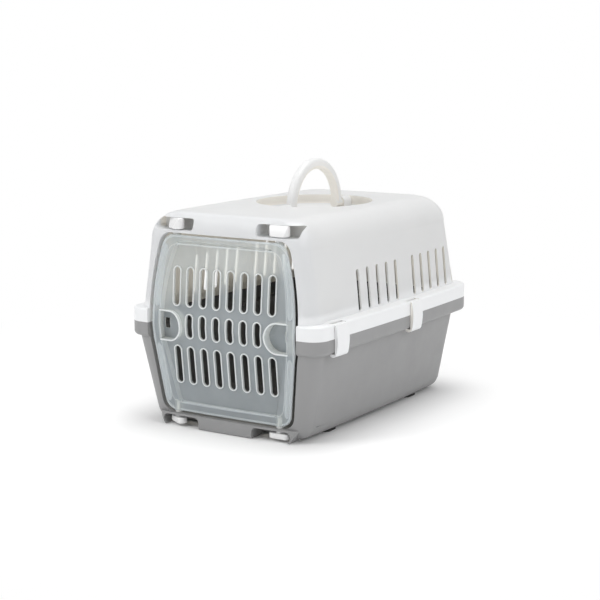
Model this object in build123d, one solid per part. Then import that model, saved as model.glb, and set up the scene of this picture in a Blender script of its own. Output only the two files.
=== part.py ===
from build123d import *
import os
from math import asin, cos, degrees, radians, sin, sqrt

# Plastic pet carrier: a tub with a lid shell, a slotted swing door, a folding handle,
# edge clips and turn locks. Millimetres, +Z up, the door faces -Y.

# Heights above the floor
FOOT_HEIGHT = 3.0
PART_Z = 148.0
BAND_UP = 20.0
BAND_DOWN = 21.0
SPRING_Z = 266.0
ROOF_Z = 306.0

# Moulded walls
WALL = 2.6
RUNNING = 0.1
CLEAR = 0.35

# Rim band round the joint of the two shells
RIM_HALF = 165.0
RIM_FRONT = 238.1
RIM_REAR = 231.0
RIM_CORNER = 42.0
RIM_FRONT_CORNER = 24.0
RIM_ROUND = 6.0
LEDGE_ROUND = 3.0
SIDE_BOW = 5.0
END_BOW = 3.0

# Front plane of both shells, at the joint, with its lean above and below
FRONT_Y = 235.5
LEAN_UP = 0.072
LEAN_DOWN = 0.114

# Tub: half width, rear and corner radius under the rim and at the underside
TUB_TOP_HALF = 149.5
TUB_TOP_REAR = 213.0
TUB_FOOT_HALF = 130.5
TUB_FOOT_REAR = 200.0
TUB_CORNER = 33.0
TUB_FRONT_CORNERS = (29.0, 19.0)
TUB_ROUND = 22.0

# Lid: half width and rear at the joint and where the shoulder starts
LID_LOW_HALF = 147.5
LID_LOW_REAR = 224.0
LID_HIGH_HALF = 136.0
LID_HIGH_REAR = 205.0
LID_CORNER = 30.0
LID_FRONT_CORNERS = (26.0, 17.0)
SHOULDER_SIDE = 36.0
SHOULDER_FRONT = 19.0
SHOULDER_REAR = 34.0
CROWN_CORNER = 26.0

# Collar round the door opening
COLLAR_PROUD = 5.0
COLLAR_BACK = 0.8
TUB_COLLAR_BACK = -204.0
LID_COLLAR_BACK = -198.0
LIP_DEPTH = 11.0
LIP_WALL = 3.2

# Door opening: half widths at stated heights, and its corner radii
OPEN_BOTTOM = 19.0
OPEN_TOP = 278.0
OPEN_FOOT_HALF = 109.5
OPEN_UNDER_RIM_HALF = 122.5
OPEN_RIM_HALF = 124.5
OPEN_SIDE_HALF = 121.3
OPEN_SIDE_Z = 208.0
OPEN_HEAD_HALF = 105.0
OPEN_CORNER = 20.0

# Sill under the opening, with a pocket for each lower lock
SILL_PROUD = 8.0
SILL_BACK = -190.0
SILL_HALF = 118.0
SILL_FOOT_HALF = 105.5
SILL_LIFT = 1.0
SILL_CORNER = 14.0
LIP_PLATE = 2.8
POCKET_INNER = 45.0
POCKET_OUTER = 113.5
POCKET_FOOT = 102.0
POCKET_BACK = -192.5
POCKET_ROUND = 7.0

# Header recess for each upper lock
RECESS_HALF = 34.0
RECESS_HIGH = 17.0
RECESS_BACK = -195.0
LINTEL = 3.5

# Locks and door pins
PIN_X = 86.0
PIN_Y = -215.5
PIN_R = 3.5
PIN_FLAT = 2.2
PIN_REACH = 12.0
WING_LENGTH = 33.0
WING_WIDTH = 15.0
WING_HEIGHT = 8.5
WING_ROUND = 2.0
TOP_WING_LENGTH = 30.0
TOP_WING_WIDTH = 17.0
TOP_WING_HEIGHT = 15.4
HUB_R = 5.5
SHOULDER_R = 5.0
LOCK_TURN = 45.0
LOCK_REST = 30.0

# Door
DOOR_GAP = 5.6
DOOR_END_GAP = 3.0
DOOR_SET = 1.5
DOOR_SHEET = 2.4
DOOR_DISH = 5.0
TRAY_MARGIN = 12.0
TRAY_SLOPE = 0.7
TRAY_NEAR = -240.0
TRAY_FAR = -210.0
BOSS_R = 6.5
BOSS_LENGTH = 15.0
BOSS_SLOT = 6.0
SLOT_WIDTH = 10.4
SLOT_PITCH = 22.76
SLOT_ROWS = ((8, 176.0, 230.0), (6, 131.0, 164.0), (8, 64.0, 117.5))
SLOT_RIM = 1.9
SLOT_RIM_HIGH = 1.2
GRIP_INNER = 72.0
GRIP_OUTER = 108.0
GRIP_LOW = 126.0
GRIP_HIGH = 166.0
GRIP_DEPTH = 14.0
GRIP_WINDOW = (97.0, 106.0, 140.0, 155.0)

# Side vents of the lid
VENT_WIDTH = 8.0
VENT_LOW = 169.5
VENT_HIGH = 228.5
VENT_PITCH = 27.0
VENT_FIRST = -99.0
VENT_GROUPS = ((0, 5), (6, 6))

# Handle and its dish in the roof
HANDLE_Y = 13.0
HANDLE_R = 64.0
HANDLE_THICK = 16.0
HANDLE_WIDE = 13.0
HANDLE_ROUND = 5.0
PIVOT_Z = 297.5
DISH_HALF_X = 84.0
DISH_HALF_Y = 95.0
DISH_DEPTH = 16.5
DISH_ROUND = 8.0
AXLE_R = 3.6
LUG_THICK = 8.0
LUG_HALF = 9.0
DRAIN_LONG = 22.0
DRAIN_WIDE = 7.0

# Edge clips
CLIP_WIDE = 30.0
CLIP_SHEET = 2.8
CLIP_BULGE = 2.0
CLIP_REACH = 7.0
CLIP_BAR_R = 2.0
CLIP_BAR_IN = 4.6
CLIP_BAR_DOWN = 4.6
CLIP_KNUCKLE = 4.1
CLIP_FRONT_Y = -183.0
CLIP_REAR_Y = 26.0

# Feet
FOOT_X = 106.0
FOOT_Y = (-128.0, 112.0)
FOOT_WIDE = 14.0
FOOT_LONG = 26.0
STEM_R = 3.0

BIG = 400.0
SIDES = (("left", -1), ("right", 1))


def along(low, high, z0, z1, z):
    """Straight-line value at height z, from low at z0 to high at z1."""
    return low + (high - low) * (z - z0) / (z1 - z0)


def front_at(z):
    """Distance of the front plane before the origin at height z, on the centre line."""
    lean = LEAN_UP if z > PART_Z else LEAN_DOWN
    return FRONT_Y - lean * abs(z - PART_Z)


def outline(half, front, rear, radius, front_radius, z):
    """Rectangle with bowed sides and round corners, at height z."""
    x = half - SIDE_BOW
    y0 = -(front - END_BOW)
    y1 = rear - END_BOW
    middle = (y0 + y1) / 2
    edges = [
        ThreePointArc((-x, y0), (0, -front), (x, y0)),
        ThreePointArc((x, y0), (half, middle), (x, y1)),
        ThreePointArc((x, y1), (0, rear), (-x, y1)),
        ThreePointArc((-x, y1), (-half, middle), (-x, y0)),
    ]
    face = Face(Wire(edges))
    face = face.fillet_2d(radius, [v for v in face.vertices() if v.Y > 0])
    face = face.fillet_2d(front_radius, face.vertices().group_by(Axis.Y)[0])
    return Pos(0, 0, z) * face


def tub_section(z, inset, proud=0.0):
    """Outline of the tub wall at height z, inside its outer face by inset."""
    top_z = PART_Z - BAND_DOWN
    half = along(TUB_FOOT_HALF, TUB_TOP_HALF, FOOT_HEIGHT, top_z, z)
    rear = along(TUB_FOOT_REAR, TUB_TOP_REAR, FOOT_HEIGHT, top_z, z)
    front_corner = along(*TUB_FRONT_CORNERS, FOOT_HEIGHT, top_z, z)
    sizes = (half + proud, front_at(z), rear, TUB_CORNER, front_corner)
    return outline(*[size - inset for size in sizes], z)


def lid_section(z, inset):
    """Outline of the lid at height z, following the shoulder above SPRING_Z."""
    wall_z = min(z, SPRING_Z)
    half = along(LID_LOW_HALF, LID_HIGH_HALF, PART_Z, SPRING_Z, wall_z)
    rear = along(LID_LOW_REAR, LID_HIGH_REAR, PART_Z, SPRING_Z, wall_z)
    front = front_at(wall_z)
    rise = max(0.0, z - SPRING_Z) / (ROOF_Z - SPRING_Z)
    turn = 1 - sqrt(max(0.0, 1 - rise**2))
    corner = LID_CORNER + (CROWN_CORNER - LID_CORNER) * turn
    front_corner = along(*LID_FRONT_CORNERS, PART_Z, SPRING_Z, wall_z)
    front_corner += (CROWN_CORNER - front_corner) * turn
    return (
        half - SHOULDER_SIDE * turn - inset,
        front - SHOULDER_FRONT * turn - inset,
        rear - SHOULDER_REAR * turn - inset,
        corner - inset,
        front_corner - inset,
    )


def lid_collar(inset):
    """Front part of the lid, proud of the side walls at the joint and flush at the shoulder."""
    ends = []
    for z, proud in ((PART_Z, COLLAR_PROUD), (SPRING_Z, 0.0)):
        half, front, *others = lid_section(z, inset)
        ends.append(outline(half + proud, front - COLLAR_BACK, *others, z))
    rear_y = LID_COLLAR_BACK - inset
    return loft(ends, ruled=True) & block(-BIG, BIG, -BIG, rear_y, PART_Z, SPRING_Z - 1)


def lid_body(inset):
    """Lid as a solid: leaning walls and a rounded shoulder up to the flat roof."""
    walls = loft([outline(*lid_section(z, inset), z) for z in (PART_Z, SPRING_Z)], ruled=True)
    steps = [0.0, 0.34, 0.62, 0.83, 0.955, 1.0]
    crown = []
    for rise in steps:
        z = SPRING_Z + rise * (ROOF_Z - SPRING_Z)
        crown.append(outline(*lid_section(z, inset), z - inset * rise))
    return walls + loft(crown)


def tub_body(inset, proud=0.0):
    """Tub as a solid: tapered walls with a rounded lower edge."""
    ends = [tub_section(z, inset, proud) for z in (FOOT_HEIGHT + inset, PART_Z)]
    body = loft(ends, ruled=True)
    foot = body.faces().sort_by(Axis.Z)[0]
    return fillet(foot.edges(), TUB_ROUND - inset)


def rim_outline(inset, z):
    """Outline of the rim band."""
    sizes = (RIM_HALF, RIM_FRONT, RIM_REAR, RIM_CORNER, RIM_FRONT_CORNER)
    return outline(*[size - inset for size in sizes], z)


def tub_rim(inset):
    """Lower half of the rim band, with its underside rounded."""
    band = extrude(rim_outline(inset, PART_Z - BAND_DOWN + inset), BAND_DOWN - inset)
    under = band.faces().sort_by(Axis.Z)[0]
    return fillet(under.edges(), RIM_ROUND - inset)


def lid_rim(inset):
    """Upper half of the rim band; only its outside has a rounded ledge edge."""
    band = extrude(rim_outline(inset, PART_Z), BAND_UP - inset)
    if inset:
        return band
    ledge = band.faces().sort_by(Axis.Z)[-1]
    return fillet(ledge.edges(), LEDGE_ROUND)


def block(x0, x1, y0, y1, z0, z1):
    """Box between two corners."""
    return Pos((x0 + x1) / 2, (y0 + y1) / 2, (z0 + z1) / 2) * Box(x1 - x0, y1 - y0, z1 - z0)


def front_layer(near, far):
    """Slab that follows the bowed, kinked front plane between two depths behind it."""
    slices = []
    for x in (-BIG / 2, 0, BIG / 2):
        bow = END_BOW * (x / TUB_TOP_HALF) ** 2
        heights = (-BIG / 4, PART_Z, BIG)
        front = [(bow + near - front_at(z), z) for z in heights]
        back = [(bow + far - front_at(z), z) for z in reversed(heights)]
        slices.append(Plane.YZ.offset(x) * make_face(Polyline(*front, *back, close=True)))
    return loft(slices)


def opening_face(gap, end_gap):
    """Front view of the opening, made smaller by gap at the sides and end_gap at the ends."""
    low = OPEN_BOTTOM + end_gap
    high = OPEN_TOP - end_gap
    rim_low = PART_Z - BAND_DOWN
    rim_high = PART_Z + BAND_UP / 2
    edges = []
    for _, side in SIDES:
        foot = (side * (OPEN_FOOT_HALF - gap), low)
        under = (side * (OPEN_UNDER_RIM_HALF - gap), rim_low - BAND_DOWN / 2)
        rim0 = (side * (OPEN_RIM_HALF - gap), rim_low)
        rim1 = (side * (OPEN_RIM_HALF - gap), rim_high)
        bulge = (side * (OPEN_SIDE_HALF - gap), OPEN_SIDE_Z)
        head = (side * (OPEN_HEAD_HALF - gap), high)
        edges += [Line(foot, under), Line(under, rim0), Line(rim0, rim1), ThreePointArc(rim1, bulge, head)]
    edges += [Line((-foot[0], low), foot), Line(head, (-head[0], high))]
    face = Face(Wire(edges))
    corners = [v for v in face.vertices() if min(abs(v.Y - low), abs(v.Y - high)) < 1]
    return face.fillet_2d(OPEN_CORNER - gap / 2, corners)


def through_front(face, near=-BIG, far=-200.0):
    """Prism of a front-view face between two Y positions."""
    return extrude(Plane.XZ.offset(-near) * face, far - near, dir=(0, 1, 0))


def lock_centre(side):
    """Plan position of the pins on one side."""
    return (side * PIN_X, PIN_Y)


def sill_block():
    """Ledge under the opening that carries the lower locks."""
    front = front_at(0) + SILL_PROUD
    x = SILL_HALF
    y = -(front - END_BOW)
    edges = [
        ThreePointArc((-x, y), (0, -front), (x, y)),
        Line((x, y), (x, SILL_BACK)),
        Line((x, SILL_BACK), (-x, SILL_BACK)),
        Line((-x, SILL_BACK), (-x, y)),
    ]
    face = Face(Wire(edges))
    face = face.fillet_2d(SILL_CORNER, [v for v in face.vertices() if v.Y < SILL_BACK - 5])
    ledge = extrude(Pos(0, 0, SILL_LIFT) * face, OPEN_BOTTOM - SILL_LIFT, dir=(0, 0, 1))
    low, high = (SILL_FOOT_HALF, SILL_LIFT), (SILL_HALF, OPEN_BOTTOM)
    ends = make_face(Polyline(low, high, (-high[0], high[1]), (-low[0], low[1]), close=True))
    return ledge & through_front(ends)


def sill_pockets():
    """Room for the lower locks, and the hollow of the middle block, all open below."""
    ceiling = OPEN_BOTTOM - LIP_PLATE
    cuts = []
    for _, side in SIDES:
        inner, outer, foot = side * POCKET_INNER, side * POCKET_OUTER, side * POCKET_FOOT
        face = make_face(Polyline((inner, -1), (inner, ceiling), (outer, ceiling), (foot, -1), close=True))
        face = fillet(face.vertices().group_by(Axis.Y)[-1], POCKET_ROUND)
        cuts.append(through_front(face, far=POCKET_BACK))
        cuts.append(Pos(*lock_centre(side), ceiling) * Cylinder(PIN_R + RUNNING, 4 * LIP_PLATE))
    half = POCKET_INNER - LIP_PLATE
    front = front_at(0) + SILL_PROUD - LIP_PLATE - END_BOW / 4
    cuts.append(block(-half, half, -front, SILL_BACK - LIP_PLATE, -1, ceiling))
    return cuts


def bar_place(y):
    """Plane at the clip bar on the right side at y: X outwards, Y along the bar, Z up."""
    y0 = -(RIM_FRONT - END_BOW)
    y1 = RIM_REAR - END_BOW
    half_span = (y1 - y0) / 2
    radius = (half_span**2 + SIDE_BOW**2) / (2 * SIDE_BOW)
    from_middle = y - (y0 + y1) / 2
    x = RIM_HALF - radius + sqrt(radius**2 - from_middle**2)
    turn = degrees(asin(from_middle / radius))
    return Pos(x, y, 0) * Rot(0, 0, turn)


def clip_places():
    """Place of each clip: name and a location whose X points out of the rim band."""
    places = []
    for name, side in SIDES:
        for spot, y in (("front", CLIP_FRONT_Y), ("rear", CLIP_REAR_Y)):
            place = bar_place(y)
            if side < 0:
                place = mirror_place(place)
            places.append((f"clip_{name}_{spot}", place))
    places.append(("clip_back", Pos(0, RIM_REAR, 0) * Rot(0, 0, 90)))
    return places


def mirror_place(place):
    """Location mirrored to the left side, still right-handed."""
    turn = place.orientation.Z
    return Pos(-place.position.X, place.position.Y, 0) * Rot(0, 0, 180 - turn)


def clip_notch(place, grow=0.0):
    """Notch in the ledge that bares the clip bar; grow gives the pocket behind it."""
    depth = 2 * CLIP_BAR_IN + 0.5 + grow
    height = 2 * CLIP_BAR_DOWN + 0.8 + grow
    half = CLIP_WIDE / 2 + CLEAR + grow
    top = PART_Z + BAND_UP
    if grow:
        return place * block(-depth, 0.0, -half, half, top - height, top)
    return place * block(-depth, CLIP_SHEET, -half, half, top - height, top + CLIP_SHEET)


def clip_bar(place):
    """Round bar that the clip turns on."""
    length = CLIP_WIDE + 2 * CLEAR + WALL
    bar = Rot(90, 0, 0) * Cylinder(CLIP_BAR_R, length)
    return place * (Pos(-CLIP_BAR_IN, 0, PART_Z + BAND_UP - CLIP_BAR_DOWN) * bar)


def make_clip(place):
    """Edge clip: an open knuckle on the bar, a bulged plate and a hook under the band."""
    bar_z = PART_Z + BAND_UP - CLIP_BAR_DOWN
    hook_z = PART_Z - BAND_DOWN - CLEAR
    inner = CLEAR
    outer = CLEAR + CLIP_SHEET
    top = bar_z + CLIP_KNUCKLE - 0.6
    foot = hook_z - CLIP_SHEET - 1.2
    edges = [
        Line((inner, top - 1.5), (inner, hook_z)),
        Line((inner, hook_z), (-CLIP_REACH, hook_z)),
        Line((-CLIP_REACH, hook_z), (-CLIP_REACH, hook_z - CLIP_SHEET)),
        ThreePointArc((-CLIP_REACH, hook_z - CLIP_SHEET), (-1.0, foot), (outer, hook_z + 1.0)),
        ThreePointArc((outer, hook_z + 1.0), (outer + CLIP_BULGE, (hook_z + top) / 2), (outer - 0.8, top)),
        Line((outer - 0.8, top), (-CLIP_BAR_IN, top)),
        Line((-CLIP_BAR_IN, top), (-CLIP_BAR_IN, top - 1.5)),
        Line((-CLIP_BAR_IN, top - 1.5), (inner, top - 1.5)),
    ]
    profile = Face(Wire(edges))
    plate = extrude(Plane.XZ * profile, CLIP_WIDE / 2, both=True)
    axis_at = Pos(-CLIP_BAR_IN, 0, bar_z)
    knuckle = axis_at * (Rot(90, 0, 0) * Cylinder(CLIP_KNUCKLE, CLIP_WIDE))
    hole = axis_at * (Rot(90, 0, 0) * Cylinder(CLIP_BAR_R + RUNNING, CLIP_WIDE + 1))
    mouth = axis_at * (Rot(0, 40, 0) * Pos(-CLIP_KNUCKLE, 0, 0) * Box(2 * CLIP_KNUCKLE, CLIP_WIDE + 1, 3.4))
    return place * (plate + knuckle - hole - mouth)


def dish_face(grow):
    """Plan of the handle dish."""
    return Ellipse(DISH_HALF_X + grow, DISH_HALF_Y + grow)


def dish_pocket():
    """The oval hollow that the handle folds into."""
    floor = ROOF_Z - DISH_DEPTH
    pocket = extrude(Pos(0, HANDLE_Y, floor) * dish_face(0), DISH_DEPTH + 5)
    under = pocket.faces().sort_by(Axis.Z)[0]
    return fillet(under.edges(), DISH_ROUND)


def dish_skin():
    """Outer side of the dish, inside the cabin."""
    floor = ROOF_Z - DISH_DEPTH - WALL
    skin = extrude(Pos(0, HANDLE_Y, floor) * dish_face(WALL), DISH_DEPTH + WALL - 1)
    under = skin.faces().sort_by(Axis.Z)[0]
    return fillet(under.edges(), DISH_ROUND + WALL / 2)


def handle_lugs():
    """Lugs in the dish, outside the handle's feet, with the axle sockets."""
    lugs = []
    for way in (-1, 1):
        near = HANDLE_R + HANDLE_THICK / 2 + CLEAR
        y0 = HANDLE_Y + way * near
        y1 = HANDLE_Y + way * (DISH_HALF_Y + WALL / 2)
        low = ROOF_Z - DISH_DEPTH - WALL / 2
        body = block(-LUG_HALF, LUG_HALF, min(y0, y1), max(y0, y1), low, PIVOT_Z)
        cap = Pos(0, (y0 + y1) / 2, PIVOT_Z) * (Rot(90, 0, 0) * Cylinder(LUG_HALF, abs(y1 - y0)))
        keep = block(-LUG_HALF, LUG_HALF, min(y0, y1), max(y0, y1), low, ROOF_Z)
        socket_y = y0 + way * LUG_THICK / 2
        socket = Pos(0, socket_y, PIVOT_Z) * (Rot(90, 0, 0) * Cylinder(AXLE_R + RUNNING, LUG_THICK + 0.4))
        lugs.append((body + (cap & keep)) - socket)
    return lugs


def header_recess(side, grow=0.0):
    """Recess in the header for one upper lock; grow gives the skin behind it."""
    low = OPEN_TOP + LINTEL - grow
    high = OPEN_TOP + LINTEL + RECESS_HIGH + grow
    half = RECESS_HALF + grow
    face = Pos(side * PIN_X, (low + high) / 2) * Rectangle(2 * half, high - low)
    face = fillet(face.vertices(), 5.0)
    return through_front(face, far=RECESS_BACK + grow)


def vents(side):
    """Slots through one side wall of the lid."""
    cuts = []
    height = VENT_HIGH - VENT_LOW
    for start, count in VENT_GROUPS:
        for i in range(count):
            y = VENT_FIRST + (start + i) * VENT_PITCH
            face = Pos(y, (VENT_LOW + VENT_HIGH) / 2) * Rot(0, 0, 90) * SlotOverall(height, VENT_WIDTH)
            cuts.append(extrude(Plane.YZ.offset(side * LID_LOW_HALF / 1.25) * face, side * 60))
    return cuts


def tongue():
    """Locating rib of the tub that stands inside the lid."""
    rise = 3.0
    thick = 1.2
    root = 4.0
    gap = 0.25
    inner = WALL + gap + thick
    low = extrude(rim_outline(WALL - 0.6, PART_Z - root), root)
    low -= extrude(rim_outline(inner, PART_Z - root), root)
    high = extrude(rim_outline(WALL + gap, PART_Z - root), root + rise)
    high -= extrude(rim_outline(inner, PART_Z - root), root + rise)
    half = OPEN_RIM_HALF + LIP_WALL + gap
    return low + high - block(-half, half, -BIG, POCKET_BACK, PART_Z, BIG)


def door_cut():
    """Prism that opens both shells at the front."""
    return through_front(opening_face(0, 0))


def opening_lip(form):
    """Return wall round the opening, within a shell's outer form."""
    ring = opening_face(-LIP_WALL, -LIP_WALL) - opening_face(0, 0)
    return through_front(ring) & form & front_layer(-30, LIP_DEPTH)


def make_base():
    """Tub with collar, rim band, sill and lock pockets."""
    front_half = block(-BIG, BIG, -BIG, TUB_COLLAR_BACK, 0, PART_Z)
    inner_half = front_half.moved(Pos(0, -WALL, 0))
    outer = tub_body(0) + (tub_body(0, COLLAR_PROUD) & front_half) + tub_rim(0)
    hollow = tub_body(WALL) + (tub_body(WALL, COLLAR_PROUD) & inner_half) + tub_rim(WALL)
    shell = outer - hollow
    shell += tongue()
    shell += opening_lip(outer)
    shell += sill_block()
    shell -= door_cut()
    for cut in sill_pockets():
        shell -= cut
    for x in (-FOOT_X, FOOT_X):
        for y in FOOT_Y:
            shell -= Pos(x, y, FOOT_HEIGHT) * Cylinder(STEM_R, 20)
    return shell


def make_lid():
    """Lid with collar, rim band, vents, handle dish, lock recesses and clip bars."""
    outer = lid_body(0) + lid_collar(0) + lid_rim(0)
    hollow = lid_body(WALL) + lid_collar(WALL) + lid_rim(WALL)
    shell = outer - hollow
    shell += opening_lip(outer)
    for _, side in SIDES:
        shell += header_recess(side, WALL) & outer
    shell += dish_skin() & outer
    for _, place in clip_places():
        shell += clip_notch(place, WALL) & outer
    shell -= door_cut()
    shell -= dish_pocket()
    for way in (-1, 1):
        drain = extrude(SlotOverall(DRAIN_LONG, DRAIN_WIDE), WALL, both=True)
        shell -= Pos(0, HANDLE_Y + way * HANDLE_R, ROOF_Z - DISH_DEPTH) * drain
    for lug in handle_lugs():
        shell += lug
    for _, side in SIDES:
        shell -= header_recess(side)
        shell -= Pos(*lock_centre(side), OPEN_TOP) * Cylinder(PIN_R + RUNNING, 4 * LINTEL)
        for cut in vents(side):
            shell -= cut
    for _, place in clip_places():
        shell -= clip_notch(place)
        shell += clip_bar(place)
    return shell


def slots():
    """Front-view places of the door slots: centre and height."""
    places = []
    for count, low, high in SLOT_ROWS:
        for i in range(count):
            x = (i - (count - 1) / 2) * SLOT_PITCH
            places.append((x, (low + high) / 2, high - low))
    return places


def slot_face(x, z, height, grow=0.0):
    """Upright slot in the front view."""
    return Pos(x, z) * Rot(0, 0, 90) * SlotOverall(height + 2 * grow, SLOT_WIDTH + 2 * grow)


def grip_face(side, grow=0.0):
    """D-shaped finger grip in the front view, flat side outwards."""
    low = GRIP_LOW - grow
    high = GRIP_HIGH + grow
    inner = GRIP_INNER - grow
    outer = GRIP_OUTER + grow
    bend = outer - (GRIP_OUTER - GRIP_INNER) / 2
    edges = [
        Line((side * outer, low), (side * outer, high)),
        Line((side * outer, high), (side * bend, high)),
        ThreePointArc((side * bend, high), (side * inner, (low + high) / 2), (side * bend, low)),
        Line((side * bend, low), (side * outer, low)),
    ]
    return Face(Wire(edges))


def tray_prism(grow):
    """Tapered prism inside the sloping border of the door, larger by grow on all sides."""
    middle_y = DOOR_SET - FRONT_Y
    end_y = DOOR_SET - front_at(OPEN_BOTTOM)
    faces = []
    for y in (TRAY_NEAR, TRAY_FAR):
        side_gap = DOOR_GAP + TRAY_MARGIN - grow + TRAY_SLOPE * (y - middle_y)
        end_gap = DOOR_END_GAP + TRAY_MARGIN - grow + TRAY_SLOPE * (y - end_y)
        faces.append(Plane.XZ.offset(-y) * opening_face(side_gap, end_gap))
    return loft(faces, ruled=True)


def make_door():
    """Slotted door with a dished panel, finger grips and open pin bosses."""
    front = DOOR_SET
    back = DOOR_SET + DOOR_SHEET
    floor = DOOR_SET + DOOR_DISH
    door = through_front(opening_face(DOOR_GAP, DOOR_END_GAP)) & front_layer(front, back)
    door += tray_prism(DOOR_SHEET) & front_layer(front, floor + DOOR_SHEET)
    door -= tray_prism(0) & front_layer(-30, floor)
    for _, side in SIDES:
        door += through_front(grip_face(side, DOOR_SHEET)) & front_layer(front, GRIP_DEPTH + DOOR_SHEET)
    for x, z, height in slots():
        rim = through_front(slot_face(x, z, height, SLOT_RIM))
        door += rim & front_layer(floor - SLOT_RIM_HIGH, floor + 1)
    for _, side in SIDES:
        door -= through_front(grip_face(side)) & front_layer(-30, GRIP_DEPTH)
        x0, x1, z0, z1 = GRIP_WINDOW
        window = block(min(side * x0, side * x1), max(side * x0, side * x1), -BIG, 0, z0, z1)
        door -= window
    for x, z, height in slots():
        door -= through_front(slot_face(x, z, height))
    for _, side in SIDES:
        x, y = lock_centre(side)
        for end, way in ((OPEN_BOTTOM + DOOR_END_GAP, 1), (OPEN_TOP - DOOR_END_GAP, -1)):
            z = end + way * BOSS_LENGTH / 2
            web = block(x - BOSS_R, x + BOSS_R, -FRONT_Y, y, z - BOSS_LENGTH / 2, z + BOSS_LENGTH / 2)
            door += Pos(x, y, z) * Cylinder(BOSS_R, BOSS_LENGTH)
            door += web & front_layer(front, -TRAY_FAR)
        for end, way in ((OPEN_BOTTOM + DOOR_END_GAP, 1), (OPEN_TOP - DOOR_END_GAP, -1)):
            z = end + way * PIN_REACH / 2
            z0, z1 = z - PIN_REACH / 2 - CLEAR, z + PIN_REACH / 2 + CLEAR
            door -= Pos(x, y, z) * Cylinder(PIN_R + 2 * RUNNING, z1 - z0)
            door -= block(x - BOSS_SLOT / 2, x + BOSS_SLOT / 2, y, y + 3 * BOSS_R, z0, z1)
    return door


def make_lock(side, upper):
    """Turn lock: a winged knob and a flatted pin that enters the door's boss."""
    way = -1 if upper else 1
    length = TOP_WING_LENGTH if upper else WING_LENGTH
    width = TOP_WING_WIDTH if upper else WING_WIDTH
    height = TOP_WING_HEIGHT if upper else WING_HEIGHT
    seat = OPEN_TOP + LINTEL if upper else OPEN_BOTTOM - LIP_PLATE
    door_end = OPEN_TOP - DOOR_END_GAP if upper else OPEN_BOTTOM + DOOR_END_GAP
    hub_high = 0.8 if upper else 3.0
    near = seat - way * CLEAR
    wing_top = near - way * hub_high
    wing = SlotOverall(length, width)
    knob = extrude(wing, -way * height)
    knob = fillet(knob.edges().filter_by(GeomType.CIRCLE), WING_ROUND)
    knob = Pos(0, 0, wing_top) * knob
    x, y = lock_centre(side)
    if upper:
        knob &= Pos(-x, -y, 0) * lid_body(0)
    hub = Pos(0, 0, (near + wing_top) / 2) * Cylinder(HUB_R, hub_high)
    tip = door_end + way * PIN_REACH
    shank = Pos(0, 0, (wing_top + door_end) / 2) * Cylinder(PIN_R, abs(door_end - wing_top))
    far_face = OPEN_TOP if upper else OPEN_BOTTOM
    stop0 = far_face + way * CLEAR
    stop1 = door_end - way * CLEAR
    stop = Pos(0, 0, (stop0 + stop1) / 2) * Cylinder(SHOULDER_R, abs(stop1 - stop0))
    pin = Pos(0, 0, (door_end + tip) / 2) * Cylinder(PIN_R, PIN_REACH)
    flats = Rot(0, 0, -side * LOCK_TURN) * Box(2 * PIN_FLAT, 4 * PIN_R, BIG)
    lock = knob + hub + shank + stop + (pin & flats)
    rest_turn = -LOCK_REST if side < 0 else 0.0
    return Pos(x, y, 0) * Rot(0, 0, rest_turn) * lock


def make_handle():
    """Arched handle with a round foot and a stub axle at each end."""
    bar = Rectangle(HANDLE_THICK, HANDLE_WIDE)
    bar = fillet(bar.vertices(), HANDLE_ROUND)
    section = Plane(origin=(0, HANDLE_R, 0), x_dir=(0, 1, 0), z_dir=(0, 0, 1)) * bar
    arch = revolve(section, Axis.X, 180)
    handle = arch
    for way in (-1, 1):
        hub = Pos(0, way * HANDLE_R, 0) * (Rot(90, 0, 0) * Cylinder(HANDLE_WIDE / 2, HANDLE_THICK))
        reach = HANDLE_R + HANDLE_THICK / 2
        axle_long = LUG_THICK
        axle = Pos(0, way * (reach + axle_long / 2), 0) * (Rot(90, 0, 0) * Cylinder(AXLE_R, axle_long))
        handle += hub + axle
    return Pos(0, HANDLE_Y, PIVOT_Z) * handle


def make_foot(x, y):
    """Black foot with a stem pressed up into the tub."""
    pad = extrude(Pos(x, y, 0) * SlotOverall(FOOT_LONG, FOOT_WIDE, rotation=90), FOOT_HEIGHT)
    stem = Pos(x, y, FOOT_HEIGHT + WALL / 2) * Cylinder(STEM_R, WALL)
    return pad + stem


def build_parts():
    """All parts by node name."""
    parts = {
        "base_shell": make_base(),
        "top_shell": make_lid(),
        "door_panel": make_door(),
        "handle": make_handle(),
    }
    for name, side in SIDES:
        parts[f"lock_lower_{name}"] = make_lock(side, False)
        parts[f"lock_upper_{name}"] = make_lock(side, True)
        for spot, y in zip(("front", "rear"), FOOT_Y):
            parts[f"foot_{name}_{spot}"] = make_foot(side * FOOT_X, y)
    for name, place in clip_places():
        parts[name] = make_clip(place)
    return parts


os.makedirs("parts", exist_ok=True)
for node, solid in build_parts().items():
    export_step(solid, f"parts/{node}.step")
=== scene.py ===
"""Studio scene of a rigid plastic pet carrier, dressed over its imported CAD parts."""

import logging
from dataclasses import dataclass
from enum import Enum

import bpy
import numpy as np
from mathutils import Matrix, Vector


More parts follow.
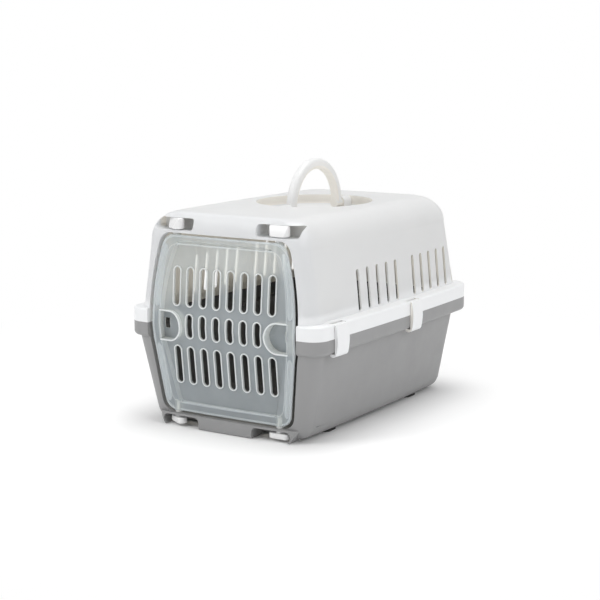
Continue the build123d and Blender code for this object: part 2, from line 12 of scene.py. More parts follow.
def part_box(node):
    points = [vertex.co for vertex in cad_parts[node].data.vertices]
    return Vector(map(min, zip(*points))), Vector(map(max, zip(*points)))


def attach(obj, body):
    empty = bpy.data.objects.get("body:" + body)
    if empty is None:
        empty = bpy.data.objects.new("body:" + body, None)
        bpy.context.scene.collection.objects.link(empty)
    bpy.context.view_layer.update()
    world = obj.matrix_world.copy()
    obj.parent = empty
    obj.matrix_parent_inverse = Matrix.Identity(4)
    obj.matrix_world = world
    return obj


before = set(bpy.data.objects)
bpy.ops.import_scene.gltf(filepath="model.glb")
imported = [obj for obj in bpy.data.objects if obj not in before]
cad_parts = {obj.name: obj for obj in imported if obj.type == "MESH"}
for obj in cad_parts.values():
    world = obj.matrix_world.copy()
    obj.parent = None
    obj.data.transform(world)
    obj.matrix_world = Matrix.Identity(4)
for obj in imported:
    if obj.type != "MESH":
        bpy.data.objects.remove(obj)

LOG = logging.getLogger("carrier")
PLASTIC_IOR = 1.49
LEAST_ROUGHNESS = 0.05
NOISE_LOW = 0.25
NOISE_HIGH = 0.75

Vec3 = tuple[float, float, float]
Colour = tuple[float, float, float]
Octaves = tuple[float, float]
Quads = tuple[np.ndarray, np.ndarray]
Socket = bpy.types.NodeSocket

WHITE: Colour = (1.0, 1.0, 1.0)


class Grain(Enum):
    """How fine a moulded surface's texture is: cells per metre and bump depth in metres."""

    POLISHED = (160.0, 0.00002)
    SATIN = (420.0, 0.00006)
    SPARK = (900.0, 0.00010)

    @property
    def scale(self) -> float:
        """Cells per metre."""
        return self.value[0]

    @property
    def depth(self) -> float:
        """Bump depth in metres."""
        return self.value[1]


class Graph:
    """Small helper that adds and wires the nodes of one material."""

    def __init__(self, name: str) -> None:
        """Starts an empty material.

        Args:
            name: name of the material.
        """
        self.material = bpy.data.materials.new(name)
        self.material.use_nodes = True
        self.tree = self.material.node_tree
        self.tree.nodes.clear()
        self.output = self.tree.nodes.new("ShaderNodeOutputMaterial")

    def node(self, kind: str, **inputs: object) -> bpy.types.Node:
        """Adds a node and sets or links its named sockets.

        Args:
            kind: node type without its ShaderNode prefix.
            inputs: socket names with underscores for spaces, each a value or an output socket.

        Returns:
            The new node.
        """
        made = self.tree.nodes.new("ShaderNode" + kind)
        for key, value in inputs.items():
            self.feed(made.inputs[key.replace("_", " ")], value)
        return made

    def feed(self, socket: Socket, value: object) -> None:
        """Links an output to an input, or sets the input's own value.

        Args:
            socket: input socket.
            value: output socket or plain value.
        """
        if isinstance(value, Socket):
            self.tree.links.new(value, socket)
        else:
            socket.default_value = value

    def noise(self, vector: Socket, octaves: Octaves) -> Socket:
        """Noise value of a point.

        Args:
            vector: coordinates to read.
            octaves: cells per metre, and the detail.

        Returns:
            Output socket of the noise factor.
        """
        scale, detail = octaves
        return self.node("TexNoise", Vector=vector, Scale=scale, Detail=detail).outputs["Fac"]

    def ramp(
        self,
        value: Socket,
        start: float,
        end: float,
        low: float = 0.0,
        high: float = 1.0,
        smooth: bool = False,
    ) -> Socket:
        """Maps a value from one range to another, and keeps it inside the second one.

        Args:
            value: value to map.
            start: value that gives the first result.
            end: value that gives the second result.
            low: first result.
            high: second result.
            smooth: True for an S-shaped run between them, False for a straight one.

        Returns:
            Output socket of the mapped value.
        """
        made = self.node("MapRange", Value=value)
        if smooth:
            made.interpolation_type = "SMOOTHSTEP"
        for name, number in (("From Min", start), ("From Max", end), ("To Min", low), ("To Max", high)):
            made.inputs[name].default_value = number
        return made.outputs["Result"]

    def between(self, value: Socket, low: float, high: float) -> Socket:
        """Spreads a noise factor over a range, taking it to lie between NOISE_LOW and NOISE_HIGH.

        Args:
            value: noise factor.
            low: result at NOISE_LOW.
            high: result at NOISE_HIGH.

        Returns:
            Output socket of the mapped value.
        """
        return self.ramp(value, NOISE_LOW, NOISE_HIGH, low, high)

    def math(self, operation: str, *values: Socket) -> Socket:
        """Works out one value from others.

        Args:
            operation: Blender's name of the operation.
            values: its operands.

        Returns:
            Output socket of the result.
        """
        made = self.node("Math")
        made.operation = operation
        for socket, value in zip(made.inputs, values):
            self.feed(socket, value)
        return made.outputs[0]

    def vector(self, operation: str, *values: object) -> bpy.types.Node:
        """Works out a vector or its length from others.

        Args:
            operation: Blender's name of the operation.
            values: its operands, output sockets or plain vectors.

        Returns:
            The node, with its outputs Vector and Value.
        """
        made = self.node("VectorMath")
        made.operation = operation
        for socket, value in zip(made.inputs, values):
            self.feed(socket, value)
        return made

    def part(self, vector: Socket, letter: str) -> Socket:
        """One coordinate of a vector.

        Args:
            vector: the vector.
            letter: X, Y or Z.

        Returns:
            Output socket of the coordinate.
        """
        return self.node("SeparateXYZ", Vector=vector).outputs[letter]

    def tint(self, factor: Socket, first: Colour | Socket, second: Colour | Socket) -> Socket:
        """Blends two colours by a factor.

        Args:
            factor: share of the second colour.
            first: colour at 0.
            second: colour at 1.

        Returns:
            Output socket of the blended colour.
        """
        made = self.node("Mix")
        made.data_type = "RGBA"
        self.feed(made.inputs[0], factor)
        for socket, colour in ((made.inputs[6], first), (made.inputs[7], second)):
            self.feed(socket, colour if isinstance(colour, Socket) else (*colour, 1.0))
        return made.outputs[2]

    def mixed(self, share: float | Socket, first: Socket, second: Socket) -> Socket:
        """Mixes two shaders.

        Args:
            share: share of the second one, a number or a socket.
            first: shader at 0.
            second: shader at 1.

        Returns:
            Output socket of the mixed shader.
        """
        made = self.node("MixShader", Fac=share)
        self.feed(made.inputs[1], first)
        self.feed(made.inputs[2], second)
        return made.outputs["Shader"]

    def bump(self, height: Socket, depth: float) -> Socket:
        """Bump normal from a height.

        Args:
            height: height factor.
            depth: real depth of the texture in metres.

        Returns:
            Output socket of the bumped normal.
        """
        return self.node("Bump", Height=height, Distance=depth, Strength=1.0).outputs["Normal"]

    def finish(self, shader: Socket) -> bpy.types.Material:
        """Sets the shader of the surface.

        Args:
            shader: output socket of the shader.

        Returns:
            The finished material.
        """
        self.feed(self.output.inputs["Surface"], shader)
        return self.material


@dataclass(frozen=True)
class Moulded:
    """Injection-moulded plastic or rubber with a faint mottle and grain.

    The share glow of it lets light through above the height glow_above, and glow_left_below of that share
    does so lower down. The faces inside the cabin may take painted light or painted shade: a lighter or
    darker colour of their own, set as inner.
    """

    name: str
    colour: Colour
    roughness: float
    grain: Grain
    mottle: float
    sheen_spread: float = 0.08
    glow: float = 0.0
    glow_above: float = 0.0
    glow_fade: float = 0.008
    glow_left_below: float = 0.28
    # inner: painted light or painted shade on the cabin's inner faces, in place of the mottled colour
    inner: Colour | None = None
    middle: Vec3 = (0.0, 0.0, 0.16)
    facing_fade: float = 0.01
    cabin_front: float = -0.205
    cabin_fade: float = 0.004
    cloud: Octaves = (14.0, 4.0)
    sheen: Octaves = (38.0, 5.0)
    grain_detail: float = 2.0

    def inside(self, graph: Graph, place: Socket) -> Socket:
        """Mask of the cabin's inner faces: 1 where a face looks at the middle and lies behind the front.

        A face looks at the middle where its normal times the way from the middle to it is negative.
        The mask is where painted light or painted shade goes: the inner colour on these faces.

        Args:
            graph: material being made.
            place: Object coordinates.

        Returns:
            Output socket of the mask.
        """
        away = graph.vector("SUBTRACT", place, self.middle).outputs["Vector"]
        normal = graph.node("TexCoord").outputs["Normal"]
        facing = graph.vector("DOT_PRODUCT", away, normal).outputs["Value"]
        side = graph.ramp(facing, self.facing_fade, -self.facing_fade)
        behind = graph.ramp(graph.part(place, "Y"), self.cabin_front - self.cabin_fade, self.cabin_front)
        return graph.math("MULTIPLY", side, behind)

    def shade(self, graph: Graph, place: Socket) -> Socket:
        """Base colour: the mottled finish, with the inner colour inside the cabin where there is one.

        Args:
            graph: material being made.
            place: Object coordinates.

        Returns:
            Output socket of the colour.
        """
        dark = tuple(c * (1 - self.mottle) for c in self.colour)
        light = tuple(min(1.0, c * (1 + self.mottle)) for c in self.colour)
        outer = graph.tint(graph.noise(place, self.cloud), dark, light)
        if self.inner is None:
            return outer
        # painted light or painted shade: the cabin's inner faces take the inner colour
        return graph.tint(self.inside(graph, place), outer, self.inner)

    def build(self) -> bpy.types.Material:
        """Makes the node material.

        Returns:
            The material, on Object coordinates.
        """
        graph = Graph(self.name)
        place = graph.node("TexCoord").outputs["Object"]
        colour = self.shade(graph, place)
        normal = graph.bump(graph.noise(place, (self.grain.scale, self.grain_detail)), self.grain.depth)
        low = max(LEAST_ROUGHNESS, self.roughness - self.sheen_spread)
        high = self.roughness + self.sheen_spread
        shader = graph.node(
            "BsdfPrincipled",
            Base_Color=colour,
            Roughness=graph.between(graph.noise(place, self.sheen), low, high),
            Normal=normal,
            IOR=PLASTIC_IOR,
        ).outputs["BSDF"]
        if self.glow:
            through = graph.node("BsdfTranslucent", Color=colour, Normal=normal).outputs["BSDF"]
            height = graph.part(place, "Z")
            start = self.glow_above - self.glow_fade
            below = self.glow * self.glow_left_below
            share = graph.ramp(height, start, self.glow_above, below, self.glow)
            shader = graph.mixed(share, shader, through)
        return graph.finish(shader)


@dataclass(frozen=True)
class Frosted:
    """Milky see-through plastic: clearest where it is seen face on, paler along its cut edges.

    The clear share is edge_share where the size of the normal's Y is under the first number of facing, and
    share where it is over the second one, with a smooth change between them.
    """

    name: str
    milk: Colour
    clear: Colour
    share: float
    edge: Colour
    edge_share: float
    roughness: float = 0.22
    sheen_spread: float = 0.05
    share_spread: float = 0.03
    glow: float = 0.35
    facing: tuple[float, float] = (0.35, 0.80)
    cloud: Octaves = (18.0, 4.0)
    sheen: Octaves = (30.0, 4.0)
    grain: Octaves = (240.0, 2.0)
    grain_depth: float = 0.00003

    def build(self) -> bpy.types.Material:
        """Makes the node material.

        Returns:
            The material, on Object coordinates.
        """
        graph = Graph(self.name)
        coords = graph.node("TexCoord")
        place = coords.outputs["Object"]
        normal = graph.bump(graph.noise(place, self.grain), self.grain_depth)
        level = graph.math("ABSOLUTE", graph.part(coords.outputs["Normal"], "Y"))
        flat = graph.ramp(level, *self.facing, smooth=True)
        milk = graph.tint(flat, self.edge, self.milk)
        low = self.roughness - self.sheen_spread
        high = self.roughness + self.sheen_spread
        body = graph.node(
            "BsdfPrincipled",
            Base_Color=milk,
            Roughness=graph.between(graph.noise(place, self.sheen), low, high),
            Normal=normal,
            IOR=PLASTIC_IOR,
        ).outputs["BSDF"]
        through = graph.node("BsdfTranslucent", Color=milk, Normal=normal).outputs["BSDF"]
        milky = graph.mixed(self.glow, body, through)
        clear = graph.node("BsdfTransparent", Color=(*self.clear, 1.0)).outputs["BSDF"]
        even = graph.ramp(flat, 0.0, 1.0, self.edge_share, self.share)
        patchy = graph.between(graph.noise(place, self.cloud), -self.share_spread, self.share_spread)
        return graph.finish(graph.mixed(graph.math("ADD", even, patchy), milky, clear))


@dataclass(frozen=True)
class Finishes:
    """All finishes of the carrier."""

    shell_white: Moulded = Moulded(
        name="shell_white_plastic",
        colour=(0.873, 0.882, 0.893),
        roughness=0.36,
        grain=Grain.SATIN,
        mottle=0.02,
        glow=0.38,
        glow_above=0.182,
        # painted light: the lid's inner faces take a lighter, warmer colour than its outside
        inner=(0.94, 0.915, 0.865),
    )
    tub_grey: Moulded = Moulded(
        name="tub_grey_plastic",
        colour=(0.275, 0.275, 0.277),
        roughness=0.46,
        grain=Grain.SPARK,
        mottle=0.04,
        # painted shade: the tub's inner faces take a near-black colour in place of the grey plastic
        inner=(0.105, 0.107, 0.11),
    )
    lock_white: Moulded = Moulded(
        name="lock_white_plastic",
        colour=(0.89, 0.89, 0.89),
        roughness=0.28,
        grain=Grain.POLISHED,
        mottle=0.02,
        glow=0.12,
    )
    foot_black: Moulded = Moulded(
        name="foot_black_rubber",
        colour=(0.022, 0.022, 0.022),
        roughness=0.70,
        grain=Grain.SPARK,
        mottle=0.15,
    )
    door_smoke: Frosted = Frosted(
        name="door_frosted_plastic",
        milk=(0.80, 0.885, 0.965),
        clear=(0.985, 0.965, 0.91),
        share=0.69,
        edge=(0.90, 0.94, 0.96),
        edge_share=0.35,
        roughness=0.13,
    )
    door_edge: Frosted = Frosted(
        name="door_edge_plastic",
        milk=(0.86, 0.91, 0.945),
        clear=(0.98, 0.985, 0.99),
        share=0.60,
        edge=(0.93, 0.95, 0.97),
        edge_share=0.30,
        roughness=0.12,
    )
    door_bead: Frosted = Frosted(
        name="door_bead_plastic",
        milk=(0.92, 0.94, 0.95),
        clear=(0.97, 0.98, 0.99),
        share=0.15,
        edge=(0.94, 0.95, 0.96),
        edge_share=0.15,
    )


def dress(node: str, material: bpy.types.Material) -> None:
    """Gives a CAD node its material.

    Args:
        node: CAD node name.
        material: material to set.
    """
    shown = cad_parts[node]
    shown.data.materials.clear()
    shown.data.materials.append(material)
    LOG.info("dressed %s", node)


def surface(name: str, parts: list[Quads], material: bpy.types.Material) -> bpy.types.Object:
    """Joins several quad meshes, whose faces look outward, into one smooth object.

    Args:
        name: object name.
        parts: vertices and quads of each mesh.
        material: its material.

    Returns:
        The new object, at the origin.
    """
    starts = np.cumsum([0] + [len(points) for points, _ in parts[:-1]])
    points = np.vstack([points for points, _ in parts])
    quads = np.vstack([quads + start for (_, quads), start in zip(parts, starts)])
    mesh = bpy.data.meshes.new(name)
    mesh.vertices.add(len(points))
    mesh.vertices.foreach_set("co", points.astype(np.float32).ravel())
    mesh.loops.add(quads.size)
    mesh.loops.foreach_set("vertex_index", quads.astype(np.int32).ravel())
    mesh.polygons.add(len(quads))
    mesh.polygons.foreach_set("loop_start", np.arange(0, quads.size, 4, dtype=np.int32))
    mesh.polygons.foreach_set("use_smooth", np.ones(len(quads), dtype=bool))
    mesh.update(calc_edges=True)
    mesh.validate()
    mesh.materials.append(material)
    made = bpy.data.objects.new(name, mesh)
    bpy.context.scene.collection.objects.link(made)
    LOG.info("made %s", name)
    return made


def stadium(x: float, z: float, width: float, height: float, count: int) -> np.ndarray:
    """Upright slot outline: a circle whose upper and lower halves are pulled apart.

    Args:
        x: centre across.
        z: centre height.
        width: overall width.
        height: overall height.
        count: points round it.

    Returns:
        Points (count, 2) of x and z.
    """
    angle = np.linspace(0.0, 2 * np.pi, count, endpoint=False)
    lift = np.where(np.sin(angle) >= 0, 1.0, -1.0) * (height - width) / 2
    return np.stack([x + width / 2 * np.cos(angle), z + lift + width / 2 * np.sin(angle)], axis=1)


def evened(points: np.ndarray, count: int, closed: bool, soft: int = 0) -> np.ndarray:
    """Spaces points evenly along a path by its length.

    A loop's corners are then rounded: each point becomes the mean of itself and its neighbours.

    Args:
        points: path (n, k).
        count: points wanted.
        closed: True for a loop.
        soft: neighbours averaged on each side, for a loop.

    Returns:
        Path (count, k).
    """
    ring = np.vstack([points, points[:1]]) if closed else points
    run = np.concatenate([[0.0], np.cumsum(np.linalg.norm(np.diff(ring, axis=0), axis=1))])
    at = np.linspace(0.0, run[-1], count, endpoint=not closed)
    even = np.stack([np.interp(at, run, ring[:, k]) for k in range(ring.shape[1])], axis=1)
    if soft and closed:
        shifts = np.arange(-soft, soft + 1)
        even = np.mean([np.roll(even, shift, axis=0) for shift in shifts], axis=0)
    return even


def ring_quads(rings: int, around: int, closed: bool) -> np.ndarray:
    """Quads between rings of points that follow each other.

    Point j of ring i has the number i * around + j.

    Args:
        rings: number of rings.
        around: points on each ring.
        closed: True where the last ring meets the first.

    Returns:
        Quads (m, 4).
    """
    i = np.arange(rings if closed else rings - 1)[:, None]
    j = np.arange(around)[None, :]
    ahead = (i + 1) % rings
    beside = (j + 1) % around
    four = [i * around + j, ahead * around + j, ahead * around + beside, i * around + beside]
    return np.stack(four, axis=-1).reshape(-1, 4)


@dataclass(frozen=True)
class BeadSize:
    """Size of a bead in metres, and its points along and round it.

    across is the half width, proud the half height, and sink the depth of its centre line in the face that
    carries it. An open bead narrows over end_rings rings, down to the square root of end_least.
    """

    across: float
    proud: float
    sink: float
    along: int
    around: int
    end_rings: float = 4.0
    end_least: float = 0.01


def bead(path: np.ndarray, size: BeadSize, closed: bool) -> Quads:
    """Elliptic bead carried along a path near the XZ plane; its short axis points along Y.

    Each ring is the path's point plus the half width times cos along the path's own side, plus the half
    height times sin to the front. An open bead narrows to its ends on a quarter circle and is capped.

    Args:
        path: centre line (n, 3).
        size: section of the bead.
        closed: True for a loop.

    Returns:
        Vertices (n * around, 3) and quads (m, 4).
    """
    count = len(path)
    ahead = np.roll(path, -1, axis=0) - np.roll(path, 1, axis=0)
    if not closed:
        ahead[0] = path[1] - path[0]
        ahead[-1] = path[-1] - path[-2]
    ahead /= np.linalg.norm(ahead, axis=1)[:, None]
    front = np.array([0.0, -1.0, 0.0])
    beside = np.cross(ahead, front)
    beside /= np.linalg.norm(beside, axis=1)[:, None]
    angle = np.linspace(0.0, 2 * np.pi, size.around, endpoint=False)[None, :, None]
    swell = np.ones(count)
    if not closed:
        step = np.arange(count)
        near_end = np.minimum(np.minimum(step, step[::-1]) / size.end_rings, 1.0)
        swell = np.sqrt(np.clip(1 - (1 - near_end) ** 2, size.end_least, 1.0))
    ring = size.across * np.cos(angle) * beside[:, None, :] + size.proud * np.sin(angle) * front
    points = path[:, None, :] + swell[:, None, None] * ring
    quads = ring_quads(count, size.around, closed)
    if not closed:
        k = np.arange(size.around // 2 - 1)
        cap = np.stack([k, k + 1, size.around - 2 - k, size.around - 1 - k], axis=-1)
        quads = np.vstack([quads, cap, cap[:, ::-1] + (count - 1) * size.around])
    return points.reshape(-1, 3), quads


@dataclass
class Shell:
    """The two moulded halves with their feet and the rubber skirt round each foot."""

    finishes: Finishes
    feet: tuple[str, ...] = ("foot_left_front", "foot_left_rear", "foot_right_front", "foot_right_rear")
    skirt_grow: float = 0.004
    skirt_rise: float = 0.0029
    skirt_around: int = 48
    skirt_section: tuple[tuple[float, float], ...] = (
        (0.55, 0.0),
        (0.97, 0.0),
        (1.0, 0.12),
        (1.0, 0.72),
        (0.98, 0.92),
        (0.94, 1.0),
        (0.55, 1.0),
    )

    def skirt(self, name: str) -> Quads:
        """Low rubber ring round a foot: a slot outline drawn in and raised along a rounded section.

        Each point of the section is a share of the half width and a share of the height. The outline is
        drawn in by the rest of the half width on both axes, and the section's last ring meets its first.

        Args:
            name: CAD node of the foot.

        Returns:
            Vertices and quads.
        """
        low, high = (np.array(corner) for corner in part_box(name))
        middle = (low + high) / 2
        size = (high - low)[:2] + 2 * self.skirt_grow
        outline = stadium(0.0, 0.0, size[0], size[1], self.skirt_around)
        section = np.array(self.skirt_section)
        drawn_in = 1 - (1 - section[:, :1]) * size[0] / size
        flat = middle[:2] + outline[None, :, :] * drawn_in[:, None, :]
        height = np.broadcast_to(section[:, 1, None, None] * self.skirt_rise, (*flat.shape[:2], 1))
        points = np.concatenate([flat, height], axis=-1)
        quads = ring_quads(len(section), self.skirt_around, True)
        turned_over = quads[:, [0, 3, 2, 1]]
        return points.reshape(-1, 3), turned_over

    def build(self) -> None:
        """Dresses the tub, the lid and the feet, and adds the skirts."""
        dress("base_shell", self.finishes.tub_grey.build())
        dress("top_shell", self.finishes.shell_white.build())
        rubber = self.finishes.foot_black.build()
        for name in self.feet:
            dress(name, rubber)
        skirts = surface("foot_skirts", [self.skirt(name) for name in self.feet], rubber)
        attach(skirts, "carrier")


@dataclass(frozen=True)
class FrontPlane:
    """The bowed front plane that leans back above and below the joint of the shells."""

    reach: float = 0.2355
    joint: float = 0.148
    lean_up: float = 0.072
    lean_down: float = 0.114
    bow: float = 0.003
    bow_at: float = 0.1495

    def y(self, x: np.ndarray, z: np.ndarray, depth: float) -> np.ndarray:
        """Y of the plane: the reach less the lean per height, plus a square-law bow, plus the depth.

        Args:
            x: positions across.
            z: heights.
            depth: distance behind the plane.

        Returns:
            Y positions.
        """
        lean = np.where(z > self.joint, self.lean_up, self.lean_down)
        return -(self.reach - lean * np.abs(z - self.joint)) + self.bow * (x / self.bow_at) ** 2 + depth


@dataclass
class Door:
    """The slotted swing door, with beads round its slots, grips and edge and ribs along its sides."""

    finishes: Finishes
    plane: FrontPlane = FrontPlane()
    sheet_front: float = 0.0015
    dish: float = 0.005
    slot_width: float = 0.0104
    slot_rim: float = 0.0019
    slot_rim_high: float = 0.0012
    slot_bead_at: float = 0.9
    slot_pitch: float = 0.02276
    slot_rows: tuple[tuple[int, float, float], ...] = (
        (8, 0.176, 0.230),
        (6, 0.131, 0.164),
        (8, 0.064, 0.1175),
    )
    slot_steps: int = 56
    grip_x: tuple[float, float] = (0.072, 0.108)
    grip_z: tuple[float, float] = (0.126, 0.166)
    grip_edge: float = 0.0012
    grip_steps: int = 33
    rib_z: tuple[tuple[float, float], ...] = ((0.034, 0.120), (0.172, 0.262))
    side_gap: float = 0.0056
    end_gap: float = 0.003
    outline_z: tuple[float, ...] = (0.019, 0.1165, 0.127, 0.158, 0.180, 0.208, 0.240, 0.278)
    outline_x: tuple[float, ...] = (0.1095, 0.1225, 0.1245, 0.1245, 0.1238, 0.1213, 0.1160, 0.105)
    outline_steps: int = 60
    outer_inward: float = 0.0016
    outer_soft: int = 7
    inner_inward: float = 0.0125
    inner_soft: int = 6
    rib_inward: float = 0.0072
    slot_bead: BeadSize = BeadSize(across=0.00095, proud=0.0006, sink=0.0002, along=64, around=8)
    outer_bead: BeadSize = BeadSize(across=0.0015, proud=0.0012, sink=0.0004, along=360, around=12)
    inner_bead: BeadSize = BeadSize(across=0.0009, proud=0.0007, sink=0.0006, along=360, around=10)
    grip_bead: BeadSize = BeadSize(across=0.0012, proud=0.0010, sink=0.0, along=90, around=10)
    rib_bead: BeadSize = BeadSize(across=0.0040, proud=0.0022, sink=0.0006, along=40, around=16)

    def laid(self, flat: np.ndarray, size: BeadSize, closed: bool, below: float = 0.0) -> Quads:
        """Bead along flat front-view points, on the sheet's front face or a depth below it.

        Args:
            flat: points (n, 2) of x and z.
            size: section of the bead.
            closed: True for a loop.
            below: depth below the front face, before the bead's own sink.

        Returns:
            Vertices and quads.
        """
        x, z = flat.T
        depth = self.sheet_front + below + size.sink
        return bead(np.stack([x, self.plane.y(x, z, depth), z], axis=1), size, closed)

    def half_width(self, z: np.ndarray, inward: float) -> np.ndarray:
        """Half the door's width at some heights, less a distance inwards.

        Args:
            z: heights.
            inward: distance inside the door's own edge.

        Returns:
            Half widths.
        """
        return np.interp(z, self.outline_z, self.outline_x) - self.side_gap - inward

    def edge_bead(self, inward: float, soft: int, size: BeadSize) -> Quads:
        """Bead along the outline of the door moved inwards, with rounded corners.

        Args:
            inward: distance inside the door's own edge.
            soft: rounding of the corners.
            size: section of the bead.

        Returns:
            Vertices and quads.
        """
        low = self.outline_z[0] + self.end_gap + inward
        high = self.outline_z[-1] - self.end_gap - inward
        z = np.linspace(low, high, self.outline_steps)
        x = self.half_width(z, inward)
        loop = np.vstack([np.stack([x, z], axis=1), np.stack([-x, z], axis=1)[::-1]])
        return self.laid(evened(loop, size.along, True, soft), size, True)

    def edge_beads(self) -> list[Quads]:
        """Thick outer bead of the door and the fine bead along the dish."""
        outer = self.edge_bead(self.outer_inward, self.outer_soft, self.outer_bead)
        inner = self.edge_bead(self.inner_inward, self.inner_soft, self.inner_bead)
        return [outer, inner]

    def slot_beads(self) -> list[Quads]:
        """Bead round every slot, on its raised rim."""
        made = []
        grow = self.slot_rim * self.slot_bead_at
        below = self.dish - self.slot_rim_high
        for count, low, high in self.slot_rows:
            for x in (np.arange(count) - (count - 1) / 2) * self.slot_pitch:
                width = self.slot_width + grow
                height = high - low + grow
                flat = stadium(x, (low + high) / 2, width, height, self.slot_steps)
                flat = evened(flat, self.slot_bead.along, True)
                made.append(self.laid(flat, self.slot_bead, True, below))
        return made

    def grip_beads(self) -> list[Quads]:
        """Bead round the inner side of each finger grip: a half ellipse with a short run at each end."""
        inner, outer = self.grip_x
        low = self.grip_z[0] - self.grip_edge
        high = self.grip_z[1] + self.grip_edge
        bend = (inner + outer) / 2
        angle = np.linspace(-np.pi / 2, np.pi / 2, self.grip_steps)
        x = bend - (bend - inner + self.grip_edge) * np.cos(angle)
        z = (low + high) / 2 + (high - low) / 2 * np.sin(angle)
        flat = np.vstack([[[outer, low]], np.stack([x, z], axis=1), [[outer, high]]])
        made = []
        for side in (-1.0, 1.0):
            path = evened(flat * np.array([side, 1.0]), self.grip_bead.along, False)
            made.append(self.laid(path, self.grip_bead, False))
        return made

    def side_ribs(self) -> list[Quads]:
        """Half-round ribs along both sides of the door, above and below the grips."""
        made = []
        for low, high in self.rib_z:
            z = np.linspace(low, high, self.rib_bead.along)
            x = self.half_width(z, self.rib_inward)
            for side in (-1.0, 1.0):
                made.append(self.laid(np.stack([side * x, z], axis=1), self.rib_bead, False))
        return made

    def build(self) -> None:
        """Dresses the panel and adds its beads and ribs."""
        dress("door_panel", self.finishes.door_smoke.build())
        pale = self.finishes.door_bead.build()
        edge = self.finishes.door_edge.build()
        pieces = (
            ("door_slot_beads", self.slot_beads(), pale),
            ("door_edge_beads", self.edge_beads(), edge),
            ("door_grip_beads", self.grip_beads(), pale),
            ("door_side_ribs", self.side_ribs(), edge),
        )
        for name, parts, material in pieces:
            made = surface(name, parts, material)
            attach(made, "door")


@dataclass
class Fittings:
    """Handle, clips and turn locks."""

    finishes: Finishes
    clips: tuple[str, ...] = (
        "clip_left_front",
        "clip_left_rear",
        "clip_right_front",
        "clip_right_rear",
        "clip_back",
    )
    locks: tuple[str, ...] = (
        "lock_lower_left",
        "lock_lower_right",
        "lock_upper_left",
        "lock_upper_right",
    )

    def build(self) -> None:
        """Dresses every fitting; the handle and the clips take the lid's material, which Shell has made."""
        white = bpy.data.materials[self.finishes.shell_white.name]
        for name in ("handle", *self.clips):
            dress(name, white)
        lock = self.finishes.lock_white.build()
        for name in self.locks:
            dress(name, lock)


@dataclass(frozen=True)
class Lamp:
    """A round soft lamp: its place and width in metres and its power in watts."""

    name: str
    place: Vec3
    width: float
    power: float

    def build(self, aim: Vec3) -> None:
        """Sets the lamp.

        Args:
            aim: point that it looks at.
        """
        data = bpy.data.lights.new(self.name, "AREA")
        data.shape = "DISK"
        data.size = self.width
        data.energy = self.power
        lamp = bpy.data.objects.new(self.name, data)
        lamp.location = self.place
        lamp.rotation_mode = "QUATERNION"
        lamp.rotation_quaternion = (Vector(aim) - Vector(self.place)).to_track_quat("-Z", "Y")
        bpy.context.scene.collection.objects.link(lamp)


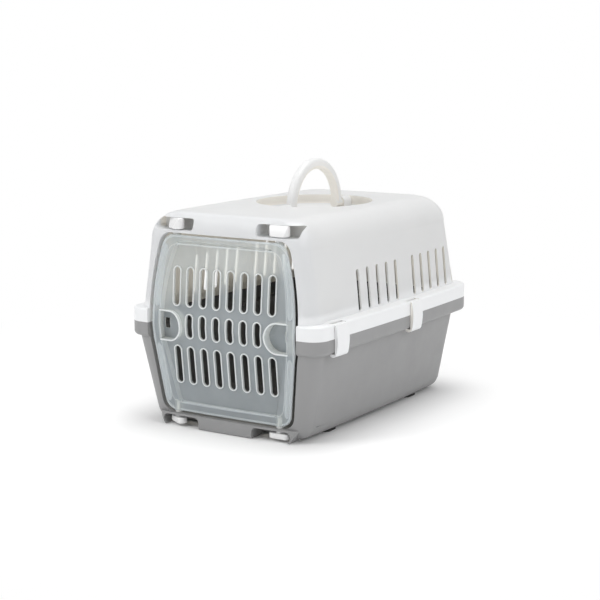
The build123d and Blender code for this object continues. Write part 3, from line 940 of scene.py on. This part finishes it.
@dataclass
class Studio:
    """Camera, lamps, world and floor round the object."""

    eye: Vec3 = (1.1289, -1.8220, 0.5336)
    back: Vec3 = (0.5247, -0.8335, 0.1731)
    right: Vec3 = (0.8463, 0.5324, 0.0)
    up: Vec3 = (-0.0922, 0.1465, 0.9847)
    lens: float = 86.585
    sensor: float = 36.0
    view_end: float = 200.0
    aim: Vec3 = (0.0, 0.0, 0.16)
    lamps: tuple[Lamp, ...] = (
        Lamp("key", (-1.5, -2.2, 2.5), 1.8, 36.0),
        Lamp("side", (2.6, -0.6, 1.6), 1.8, 20.5),
        Lamp("top", (0.1, 0.4, 3.0), 2.2, 50.0),
        Lamp("front_box", (-1.5, -2.75, 0.22), 0.55, 4.0),
    )
    sky_light: float = 0.55
    backdrop: float = 1.0
    floor_size: float = 60.0
    floor_dark: Colour = (0.90, 0.90, 0.90)
    floor_light: Colour = (0.92, 0.92, 0.92)
    floor_cloud: Octaves = (0.6, 2.0)
    shadow_reach: tuple[float, float] = (0.30, 0.85)

    def camera(self) -> None:
        """Sets the camera of the photograph."""
        data = bpy.data.cameras.new("camera")
        data.lens = self.lens
        data.sensor_width = self.sensor
        data.clip_end = self.view_end
        camera = bpy.data.objects.new("camera", data)
        bpy.context.scene.collection.objects.link(camera)
        axes = Matrix((self.right, self.up, self.back)).transposed()
        camera.matrix_world = Matrix.Translation(self.eye) @ axes.to_4x4()
        bpy.context.scene.camera = camera

    def world(self) -> None:
        """Sets a pale world that lights the object softly and shows as a white backdrop."""
        world = bpy.data.worlds.new("studio_world")
        bpy.context.scene.world = world
        world.use_nodes = True
        tree = world.node_tree
        tree.nodes.clear()
        out = tree.nodes.new("ShaderNodeOutputWorld")
        path = tree.nodes.new("ShaderNodeLightPath")
        mix = tree.nodes.new("ShaderNodeMixShader")
        tree.links.new(path.outputs["Is Camera Ray"], mix.inputs[0])
        for slot, strength in ((1, self.sky_light), (2, self.backdrop)):
            light = tree.nodes.new("ShaderNodeBackground")
            light.inputs["Color"].default_value = (*WHITE, 1.0)
            light.inputs["Strength"].default_value = strength
            tree.links.new(light.outputs[0], mix.inputs[slot])
        tree.links.new(mix.outputs[0], out.inputs["Surface"])

    def floor_paint(self) -> bpy.types.Material:
        """Pale matt paint that keeps the object's shadow and fades to the white backdrop further out.

        Returns:
            The material, on Object coordinates.
        """
        graph = Graph("floor_paint")
        place = graph.node("TexCoord").outputs["Object"]
        shade = graph.tint(graph.noise(place, self.floor_cloud), self.floor_dark, self.floor_light)
        matt = graph.node("BsdfDiffuse", Color=shade).outputs["BSDF"]
        reach = graph.vector("LENGTH", place).outputs["Value"]
        far = graph.ramp(reach, *self.shadow_reach, smooth=True)
        share = graph.math("MULTIPLY", far, graph.node("LightPath").outputs["Is Camera Ray"])
        white = graph.node("Emission", Color=(*WHITE, 1.0), Strength=self.backdrop).outputs["Emission"]
        return graph.finish(graph.mixed(share, matt, white))

    def floor(self) -> None:
        """Lays the plain pale floor."""
        half = self.floor_size / 2
        ring = [(-half, -half, 0.0), (half, -half, 0.0), (half, half, 0.0), (-half, half, 0.0)]
        mesh = bpy.data.meshes.new("floor")
        mesh.from_pydata(ring, [], [(0, 1, 2, 3)])
        mesh.materials.append(self.floor_paint())
        floor = bpy.data.objects.new("floor", mesh)
        bpy.context.scene.collection.objects.link(floor)

    def build(self) -> None:
        """Makes the whole studio."""
        self.camera()
        for lamp in self.lamps:
            lamp.build(self.aim)
        self.world()
        self.floor()
        bpy.context.scene.view_settings.view_transform = "Standard"


def main() -> None:
    """Builds the carrier's looks and the studio."""
    logging.basicConfig(level=logging.INFO)
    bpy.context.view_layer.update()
    finishes = Finishes()
    for part in (Shell(finishes), Door(finishes), Fittings(finishes), Studio()):
        part.build()
        LOG.info("built %s", type(part).__name__)


if __name__ == "__main__":
    main()
